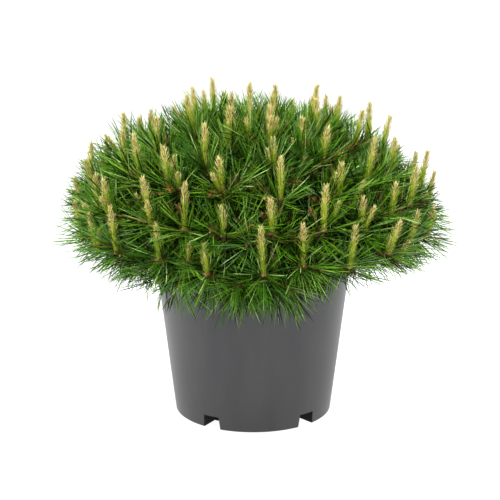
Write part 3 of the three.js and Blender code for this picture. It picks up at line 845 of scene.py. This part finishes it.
def grow_crown(mass, batches):
    """Everything on the shoots of one mass; each mass has random numbers of its own."""
    rng = np.random.default_rng([CROWN_SEED, TIERS.index(mass["tier"]), mass["number"]])
    needles, sheaths, twigs, candles = batches
    tier, limb = mass["tier"], mass["limb"]
    habit = HABITS[tier["name"]]
    length = habit["needle"]
    start, hub = tier["bough_share"], 1 - HUB_OVERLAP / limb.length
    stem = Curve(limb.at(start), limb.at((start + hub) / 2), limb.at(1))
    add_twig(twigs, stem, (tier["limb_radius"] * LIMB_TAPER, STEM_END_RADIUS), rng, GREY)
    for shoot in mass["shoots"]:
        curve = shoot["curve"]
        add_twig(twigs, curve, MAIN_TWIG, rng, rng.integers(WOODY))
        # shares of near-black painted shade for its sprays
        shoot["dark"] = habit["dark"]
        low = shoot["lean"] > LOW_LEAN
        tone = rng.choice(FRESH_GREENS, p=LOW_TONES if low else HIGH_TONES)
        new = min(NEW_WOOD, NEW_WOOD_SHARE * curve.length)
        spray(needles, sheaths, shoot, (0, new), habit["pairs"], NEW_LEANS, length, tone, rng)
        stretch = (new, min(OLD_WOOD, OLD_WOOD_SHARE * curve.length))
        pairs, old_length = habit["old_pairs"], OLD_NEEDLES * length
        old_tone, dry = rng.choice(OLD_TONES), LOW_OLD_DRY if low else HIGH_OLD_DRY
        spray(needles, sheaths, shoot, stretch, pairs, OLD_LEANS, old_length, old_tone, rng, dry)
        grow_candles(candles, shoot, habit, rng)
        grow_tufts(twigs, curve, habit, rng)
        for side in side_shoots(shoot, rng):
            fork = side["curve"]
            add_twig(twigs, fork, SIDE_TWIG, rng, rng.integers(WOODY))
            side_tone = tone if rng.random() < SIDE_SAME_TONE else rng.choice(FRESH_GREENS)
            stretch = (0, SIDE_WOOD * fork.length)
            side_length = SIDE_NEEDLES * length
            spray(needles, sheaths, side, stretch, SIDE_PAIRS, SIDE_LEANS, side_length, side_tone, rng)
            if rng.random() < SIDE_CANDLES and shoot["lean"] < CANDLES_TO_LEAN:
                up = unit(fork.way(1) * SIDE_CANDLE_ALONG + [0, 0, 1])
                size = rng.uniform(*SIDE_CANDLE_LENGTHS)
                add_candle(candles, rng, fork.points[2], up, size, radius=1.9)


KINDS = [("needles", GREENS), ("sheaths", SHEATHS), ("twigs", TWIGS), ("candles", CANDLES)]
LAYERS = {"lower": ["lower"], "middle": ["middle"], "upper": ["upper", "top"]}
for layer, tiers in LAYERS.items():
    own = [m for m in masses if m["tier"]["name"] in tiers]
    batches = [Batch() for _ in KINDS]
    for mass in own:
        grow_crown(mass, batches)
    replaced = [f"foliage_{m['tier']['name']}_{m['number']}" for m in own]
    for (kind, looks), batch in zip(KINDS, batches):
        name = f"{kind}_{layer}"
        place(name, batch.mesh(name), looks, replaced)

# Trunk and boughs in one mesh with the bark's relief

PLATE_SCALE = np.array([0.16, 0.16, 0.075])  # of the noise, per mm: plates are longest upwards
PLATE_DETAIL = 2.3  # scale of the finer furrows, as a multiple
PLATE_DETAIL_SHARE = 0.5
PLATE_STEEPNESS = 2.2
PLATE_LEVEL = 0.55
SCURF_SCALE = 0.7
SCURF_SHARE = 0.25
BOUGH_OVERLAP = 0.01  # share of a limb that its bark goes into its mass


def bark_relief(points, amount):
    """How far the bark stands out at each point: plates with furrows between them."""
    heights = []
    for p in points:
        spot = Vector(p * PLATE_SCALE)
        plates = abs(noise.noise(spot)) + PLATE_DETAIL_SHARE * abs(noise.noise(spot * PLATE_DETAIL))
        scurf = noise.noise(Vector(p) * SCURF_SCALE)
        heights.append(min(plates * PLATE_STEEPNESS, 1) - PLATE_LEVEL + SCURF_SHARE * scurf)
    return np.array(heights) * amount


def add_limb(batch, curve, end, radii, side, sides, pitch, relief):
    """A limb up to the share end of its curve, with evenly spaced radii and rings a pitch apart."""
    share = np.linspace(0, 1, int(curve.length * end / pitch) + 2)
    t = end * share
    base = np.interp(share, np.linspace(0, 1, len(radii)), radii)
    corners, quads, ends = tube(curve.at(t), curve.way(t), base[:, None], sides, side)
    out = unit(corners - np.repeat(curve.at(t), sides, axis=0))
    corners = corners + out * bark_relief(corners, relief)[:, None]
    batch.add(corners, [quads, ends], [0, 0])


limbs = Batch()
add_limb(limbs, trunk_curve, 1, TRUNK_RADII, side=np.array([1.0, 0, 0]), sides=72, pitch=1.1, relief=1.5)
for mass in masses:
    tier = mass["tier"]
    if tier["bough_share"]:
        radii = (tier["limb_radius"], tier["limb_radius"] * LIMB_TAPER)
        end = tier["bough_share"] + BOUGH_OVERLAP
        add_limb(limbs, mass["limb"], end, radii, side=TUBE_SIDE, sides=22, pitch=1.4, relief=0.5)
bark = grained(
    "bark", (70, 50, 36), (142, 112, 84),
    scale=260, roughness=(0.75, 0.95), bump=0.6, depth=0.5, stretch=(1, 1, 0.55),
)
bough_names = [f"bough_{m['tier']['name']}_{m['number']}" for m in masses if m["tier"]["bough_share"]]
place("bark_relief", limbs.mesh("bark_relief"), [bark], ["trunk", *bough_names], smooth=True)

# The pot: a smooth turned tub with a rim band and drainage channels cut up into its foot

POT_SIDES = 180
BAND_ROUNDING = 0.6  # of the rim band's lower edge
MOUTH_ROUNDING = 0.8
HOUSING_INSET = 0.7  # how far inside the wall's face a channel's housing ends
HOUSING_SPAN = (0.5, 60)  # heights that a housing is cut to
SHADE_AND_SOIL_LEVELS = (6, POT_FOOT_RADIUS - 1)  # where from the axis the channels get near-black painted shade, flecked with soil brown
SHADE_AND_SOIL_HEIGHTS = (0.5, CHANNEL_HEIGHT + 0.5)


def solid(made, angle=0):
    """A loose object with a made shape, turned about Z."""
    bmesh.ops.recalc_face_normals(made, faces=made.faces)
    mesh = bpy.data.meshes.new("solid")
    made.to_mesh(mesh)
    made.free()
    mesh.transform(Matrix.Rotation(angle, 4, "Z"))
    return bpy.data.objects.new("solid", mesh)


def turned(profile):
    """A closed solid of revolution from (radius, height) points that start and end on the axis."""
    made = bmesh.new()
    turns = [2 * math.pi * k / POT_SIDES for k in range(POT_SIDES)]
    rings = []
    for radius, z in profile:
        if radius:
            ring = [(radius * math.cos(a) * MM, radius * math.sin(a) * MM, z * MM) for a in turns]
            rings.append([made.verts.new(corner) for corner in ring])
        else:
            rings.append([made.verts.new((0, 0, z * MM))] * POT_SIDES)
    for low, high in zip(rings, rings[1:]):
        for k in range(POT_SIDES):
            n = (k + 1) % POT_SIDES
            made.faces.new(list(dict.fromkeys([low[k], low[n], high[n], high[k]])))
    return solid(made)


def bar(section, x0, x1, angle):
    """A bar along X between x0 and x1, turned about Z; section is a list of (y, z)."""
    made = bmesh.new()
    near = [made.verts.new((x0 * MM, y * MM, z * MM)) for y, z in section]
    far = [made.verts.new((x1 * MM, y * MM, z * MM)) for y, z in section]
    made.faces.new(near)
    made.faces.new(far[::-1])
    for k in range(len(section)):
        n = (k + 1) % len(section)
        made.faces.new([near[k], far[k], far[n], near[n]])
    return solid(made, angle)


def channel_bar(grow, angle):
    """The room of a drainage channel, or its housing where it grows by the wall's thickness."""
    foot = CHANNEL_WIDTH / 2 + grow
    roof = foot - CHANNEL_DRAFT
    top = CHANNEL_HEIGHT + grow
    half = [(foot, -CUT_BEYOND), (foot, 0), (roof, top)]
    section = [(-foot, -CUT_BEYOND), *half, (-roof, top), (-foot, 0)]
    return bar(section, POT_FOOT_RADIUS - CHANNEL_LENGTH - grow, POT_FOOT_RADIUS + CUT_BEYOND, angle)


def drain_hole(angle):
    half = DRAIN_WIDTH / 2
    z0, z1 = CHANNEL_HEIGHT - DRAIN_DEPTH / 2, CHANNEL_HEIGHT + DRAIN_DEPTH / 2
    middle = POT_FOOT_RADIUS - CHANNEL_LENGTH + DRAIN_LENGTH
    section = [(-half, z0), (half, z0), (half, z1), (-half, z1)]
    return bar(section, middle - DRAIN_LENGTH / 2, middle + DRAIN_LENGTH / 2, angle)


def combine(target, others, operation):
    """Joins, cuts or overlaps a solid with others, and returns its new mesh."""
    for thing in (target, *others):
        bpy.context.scene.collection.objects.link(thing)
    for other in others:
        modifier = target.modifiers.new("combine", "BOOLEAN")
        modifier.operation = operation
        modifier.solver = "EXACT"
        modifier.object = other
    bpy.context.view_layer.update()
    depsgraph = bpy.context.evaluated_depsgraph_get()
    mesh = bpy.data.meshes.new_from_object(target.evaluated_get(depsgraph))
    for thing in (target, *others):
        bpy.data.objects.remove(thing)
    return bpy.data.objects.new("combined", mesh)


def arc(x, z, radius, start, end, steps=6):
    """Points of a rounded edge, angles in degrees."""
    turns = [math.radians(mix(start, end, k / steps)) for k in range(steps + 1)]
    return [(x + radius * math.cos(a), z + radius * math.sin(a)) for a in turns]


def pot_mesh():
    rim_base = POT_HEIGHT - RIM_DEPTH
    rim_radius = wall_radius(POT_HEIGHT) + RIM_OVERHANG
    mouth = wall_radius(POT_HEIGHT) - POT_WALL
    profile = [
        (0, 0),
        *arc(wall_radius(0) - FOOT_ROUNDING, FOOT_ROUNDING, FOOT_ROUNDING, -90, 0),
        (wall_radius(rim_base), rim_base),
        *arc(rim_radius - BAND_ROUNDING, rim_base + BAND_ROUNDING, BAND_ROUNDING, -90, 0, 3),
        *arc(rim_radius - RIM_ROUNDING, POT_HEIGHT - RIM_ROUNDING, RIM_ROUNDING, 0, 90),
        *arc(mouth + MOUTH_ROUNDING, POT_HEIGHT - MOUTH_ROUNDING, MOUTH_ROUNDING, 90, 180, 3),
        (wall_radius(POT_FLOOR) - POT_WALL, POT_FLOOR),
        (0, POT_FLOOR),
    ]
    shell = turned(profile)
    angles = [2 * math.pi * k / CHANNELS for k in range(CHANNELS)]
    low, high = HOUSING_SPAN
    side = [(wall_radius(z) - HOUSING_INSET, z) for z in HOUSING_SPAN]
    for angle in angles:
        envelope = turned([(0, low), *side, (0, high)])
        housing = combine(channel_bar(POT_WALL, angle), [envelope], "INTERSECT")
        shell = combine(shell, [housing], "UNION")
    cuts = [channel_bar(0, angle) for angle in angles] + [drain_hole(angle) for angle in angles]
    shell = combine(shell, cuts, "DIFFERENCE")
    shell.data.transform(Matrix.Rotation(CONTAINER_TURN, 4, "Z"))
    return shell.data


def between(value, ends):
    return ends[0] < value < ends[1]


plastic = grained(
    "pot_plastic", (63, 63, 65), (70, 70, 71),
    scale=34, roughness=(0.3, 0.42), bump=0.12, depth=0.12, stretch=(1, 1, 0.25),
)
# Inside the drainage channels: near-black painted shade where light hardly reaches, flecked with soil brown
channel_shade_and_soil = grained(
    "pot_channel_shade_and_soil", (22, 19, 16), (44, 38, 30), scale=240, roughness=(0.8, 0.95), bump=0.5, depth=0.4
)
pot = place("pot_tub", pot_mesh(), [plastic, channel_shade_and_soil], ["pot"], smooth=True)
# faces inside the channels take that painted shade
for face in pot.data.polygons:
    x, y, z = face.center / MM
    face.material_index = between(math.hypot(x, y), SHADE_AND_SOIL_LEVELS) and between(z, SHADE_AND_SOIL_HEIGHTS)
pot.data.set_sharp_from_angle(angle=math.radians(32))

# The growing medium: a rough bed under loose crumbs

BED_RINGS = 44
BED_SIDES = 120
BED_GAP = 0.8  # from the pot's wall
BED_DEPTH = 1.6  # of its middle level under the ground
LEVEL_SHARE = 0.4  # share of its radius that is level, before it falls to its edge
LUMPS = [(0.11, 1.6, 3), (0.5, 1.1, 7)]  # scale per mm, height, and a place in the noise
EDGE_LUMPS = 0.3  # their share at the wall
CRUMBS = 1500
CRUMB_SEED = 517
CRUMB_GAP = 3  # from the bed's edge
CRUMB_DEPTH = 1.2
CRUMB_RISES = (-0.6, 0.8)
CRUMB_SHAPE = (1.3, 1, 0.7)
CRUMB_SIZES = (3, 0.45)  # shape and scale of the sizes' gamma distribution
CRUMB_LIMITS = (0.5, 3.2)
CRUMB_CORNERS = (0.8, 1.2)  # roughness of its form
CRUMB_SHARES = (0.6, 0.25, 0.15)  # of the three looks


def soil_fall(radius, reach):
    """How far the ground has fallen towards the wall."""
    return (GROUND - GROUND_EDGE) * np.clip(radius / reach - LEVEL_SHARE, 0, None) / (1 - LEVEL_SHARE)


def add_bed(batch, reach):
    corners = []
    for ring in range(1, BED_RINGS + 1):
        radius = reach * ring / BED_RINGS
        height = GROUND - BED_DEPTH - soil_fall(radius, reach)
        for k in range(BED_SIDES):
            a = 2 * math.pi * k / BED_SIDES
            x, y = radius * math.cos(a), radius * math.sin(a)
            lump = sum(noise.noise(Vector((x * scale, y * scale, z))) * size for scale, size, z in LUMPS)
            corners.append((x, y, height + lump * (EDGE_LUMPS if ring == BED_RINGS else 1)))
    facing_up = rows_of_quads(BED_RINGS, BED_SIDES)[:, [0, 3, 2, 1]]
    batch.add(np.array(corners), [facing_up, np.arange(BED_SIDES)[None]], [0, 0])


def add_crumbs(batch, reach):
    rng = np.random.default_rng(CRUMB_SEED)
    ball = bmesh.new()
    bmesh.ops.create_icosphere(ball, subdivisions=1, radius=1)
    shape = np.array([v.co[:] for v in ball.verts])
    faces = [np.array([[v.index for v in f.verts] for f in ball.faces])]
    ball.free()
    radius = (reach - CRUMB_GAP) * np.sqrt(rng.random(CRUMBS))
    turn = rng.random(CRUMBS) * 2 * math.pi
    height = GROUND - CRUMB_DEPTH - soil_fall(radius, reach) + rng.uniform(*CRUMB_RISES, CRUMBS)
    origin = np.stack([radius * np.cos(turn), radius * np.sin(turn), height], axis=1)
    size = rng.gamma(*CRUMB_SIZES, CRUMBS).clip(*CRUMB_LIMITS)[:, None]
    x_way = unit(rng.normal(size=(CRUMBS, 3)))
    ways = (x_way, *beside(x_way, rng))
    frames = (origin, *(way * size * share for way, share in zip(ways, CRUMB_SHAPE)))
    corners, faces = copies(shape * rng.uniform(*CRUMB_CORNERS, shape.shape), faces, frames)
    looks = rng.choice(len(CRUMB_SHARES), CRUMBS, p=CRUMB_SHARES)
    batch.add(corners, faces, [np.repeat(looks, len(faces[0]) // CRUMBS)])


soil = Batch()
soil_reach = wall_radius(GROUND) - POT_WALL - BED_GAP
add_bed(soil, soil_reach)
add_crumbs(soil, soil_reach)
CHIPS = dict(scale=300, roughness=(0.8, 1), bump=0.6, depth=0.5)
soil_looks = [
    grained("soil_dark", (36, 25, 18), (66, 48, 34), scale=420, roughness=(0.85, 1), bump=0.8, depth=0.8),
    grained("soil_bark_chip", (84, 58, 38), (120, 88, 60), **CHIPS),
    grained("soil_fibre", (96, 78, 56), (128, 108, 80), **CHIPS),
]
place("soil", soil.mesh("soil"), soil_looks, ["growing_medium"], smooth=True)

# Floor, light and camera, in metres

FLOOR = [(-40, -40), (40, -40), (40, 40), (-40, 40)]
FLOOR_DROP = 0.0004
FLOOR_GLOW = 0.96
BACKDROP = 1.02  # its strength
BACKDROP_TOP = (0.16, 0.3)  # heights on a unit sphere where it starts and ends to fade
CEILING = 0.18
CAMERA_DISTANCE = 1.6
CAMERA_ELEVATION = math.radians(14.2)
CAMERA_TARGET = Vector((-0.0037, 0, 0.1907))
CAMERA_LENS = 98.75
CAMERA_SENSOR = 36


def floor_sheet():
    mesh = bpy.data.meshes.new("floor")
    mesh.from_pydata([(x, y, -FLOOR_DROP) for x, y in FLOOR], [], [(0, 1, 2, 3)])
    look = plain("floor_white", (120, 120, 120), 0.9, 0.1)
    glow = {"Emission Color": (1, 1, 1, 1), "Emission Strength": FLOOR_GLOW}
    fill(look.node_tree.nodes["Principled BSDF"], glow)
    mesh.materials.append(look)
    return show("floor", mesh)


def studio():
    """A lit backdrop all round, under a dimmer ceiling."""
    world = bpy.data.worlds.new("studio")
    world.use_nodes = True
    tree = world.node_tree
    way, parts, fade = add_nodes(
        tree, "ShaderNodeTexCoord", "ShaderNodeSeparateXYZ", "ShaderNodeMapRange"
    )
    light = tree.nodes["Background"]
    start, end = BACKDROP_TOP
    fill(fade, {"From Min": start, "From Max": end, "To Min": BACKDROP, "To Max": CEILING})
    fill(light, {"Color": (1, 1, 1, 1)})
    wire(
        tree,
        (way, "Generated", parts, "Vector"),
        (parts, "Z", fade, "Value"),
        (fade, "Result", light, "Strength"),
    )
    return world


def softbox(name, spot, aim, size, power):
    """A square light that points at the pot's axis, aim being the height."""
    light = bpy.data.lights.new(name, "AREA")
    light.shape = "SQUARE"
    light.size = size
    light.energy = power
    lamp = show(name, light)
    lamp.location = spot
    lamp.rotation_euler = (Vector((0, 0, aim)) - Vector(spot)).to_track_quat("-Z", "Y").to_euler()


def view_from_front():
    """The camera at the photograph's height and distance."""
    data = bpy.data.cameras.new("camera")
    data.lens = CAMERA_LENS
    data.sensor_width = CAMERA_SENSOR
    camera = show("camera", data)
    back = Vector((0, -math.cos(CAMERA_ELEVATION), math.sin(CAMERA_ELEVATION)))
    camera.location = CAMERA_TARGET + back * CAMERA_DISTANCE
    camera.rotation_euler = (-back).to_track_quat("-Z", "Y").to_euler()
    return camera


floor = floor_sheet()
bpy.context.scene.world = studio()
softbox("overhead", spot=(-0.4, -0.5, 2.2), aim=0.25, size=1.3, power=97)
softbox("side_left", spot=(-1.8, 0.3, 0.5), aim=0.12, size=1.3, power=30)
softbox("side_right", spot=(1.9, 0.1, 1.05), aim=0.3, size=1.1, power=28)
softbox("behind", spot=(0.3, 2.0, 1.0), aim=0.2, size=1.2, power=20)
softbox("front_left", spot=(-1.6, -1.6, 1.1), aim=0.2, size=0.9, power=19)
softbox("front_right", spot=(1.35, -1.75, 0.7), aim=0.2, size=0.36, power=14)
bpy.context.scene.camera = view_from_front()
bpy.context.scene.view_settings.view_transform = "Standard"
bpy.context.scene.view_settings.gamma = 0.9
